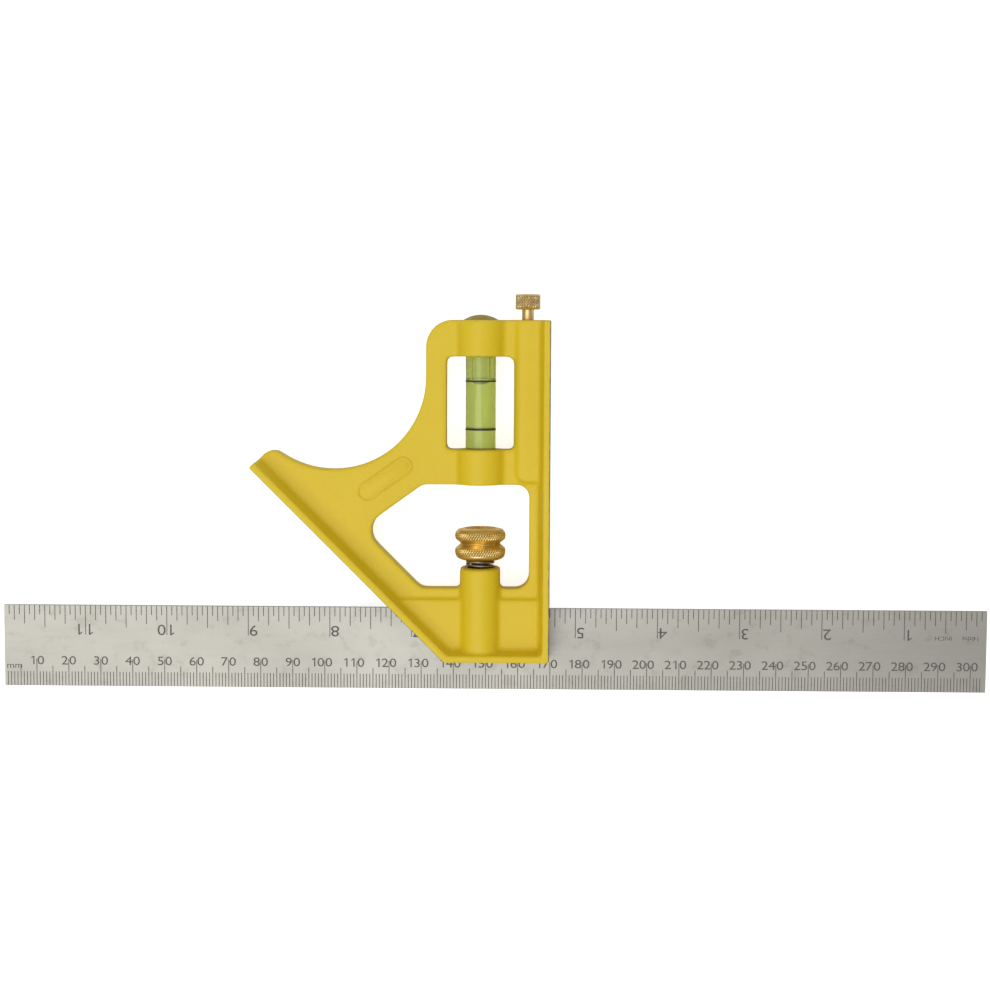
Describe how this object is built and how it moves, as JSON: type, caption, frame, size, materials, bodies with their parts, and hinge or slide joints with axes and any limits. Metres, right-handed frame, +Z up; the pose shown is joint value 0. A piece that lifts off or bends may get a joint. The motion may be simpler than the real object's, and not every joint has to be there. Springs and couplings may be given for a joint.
{
  "type": "combination square",
  "caption": "Combination square: a graduated steel rule slides in a cast head with a square face and a mitre face, clamped by a knurled nut, with a spirit vial and a scriber.",
  "frame": {"origin": "where the head's square face, the seat of the rule and the resting plane of the rear flanges meet", "axes": "+X out of the square face, along the rule; +Y from the rule up the head to the vial and scriber; +Z up, out of the graduated face, with the tool lying flat on its rear flanges"},
  "size_m": [0.3049, 0.1222, 0.02],
  "materials": {
    "painted_casting": "fine-textured gloss enamel over a cast head, ground bare on the two working faces",
    "stainless_rule": "satin, brushed along the rule, with etched and blackened graduations",
    "bolt_steel": "oiled machined steel",
    "spring_steel": "dark oiled wire",
    "knurled_brass": "turned and knurled, lightly tarnished",
    "cap_brass": "drawn dome, lightly tarnished",
    "clear_acrylic": "clear, polished",
    "spirit": "clear yellow-green spirit",
    "bubble": "clear",
    "plug_plastic": "moulded",
    "index_ink": "printed black line",
    "bedding": "set compound",
    "needle_steel": "hardened and ground"
  },
  "bodies": {
    "head": {"head_casting": "painted_casting", "vial_tube": "clear_acrylic", "vial_liquid": "spirit", "vial_bubble": "bubble", "vial_plug": "plug_plastic", "vial_index_upper": "index_ink", "vial_index_lower": "index_ink", "vial_bed_lower": "bedding", "vial_bed_upper": "bedding", "vial_cap": "cap_brass", "scriber_bush": "cap_brass"},
    "rule": {"blade": "stainless_rule"},
    "bolt": {"clamp_bolt": "bolt_steel"},
    "spring": {"clamp_spring": "spring_steel"},
    "nut": {"clamp_nut": "knurled_brass"},
    "scriber": {"scriber_handle": "knurled_brass", "scriber_needle": "needle_steel"}
  },
  "joints": [
    {"name": "rule_slide", "type": "slide", "parent": "head", "child": "rule", "axis": [1, 0, 0], "range_m": [-0.135, 0.137]},
    {"name": "bolt_press", "type": "slide", "parent": "head", "child": "bolt", "axis": [0, 1, 0], "range_m": [-0.0006, 0]},
    {"name": "nut_travel", "type": "slide", "parent": "bolt", "child": "spring", "axis": [0, 1, 0], "range_m": [-0.00141, 0.00101], "deforming": ["clamp_spring"]},
    {"name": "nut_spin", "type": "hinge", "parent": "spring", "child": "nut", "pos_m": [-0.02145, 0.0149, 0.01], "axis": [0, 1, 0], "range_deg": [-504, 360]},
    {"name": "scriber_slide", "type": "slide", "parent": "head", "child": "scriber", "axis": [0, 1, 0], "range_m": [-0.003, 0.045]}
  ],
  "couplings": [
    {"joint": "nut_travel", "follows": "nut_spin", "m_per_rad": 0.00015915}
  ]
}
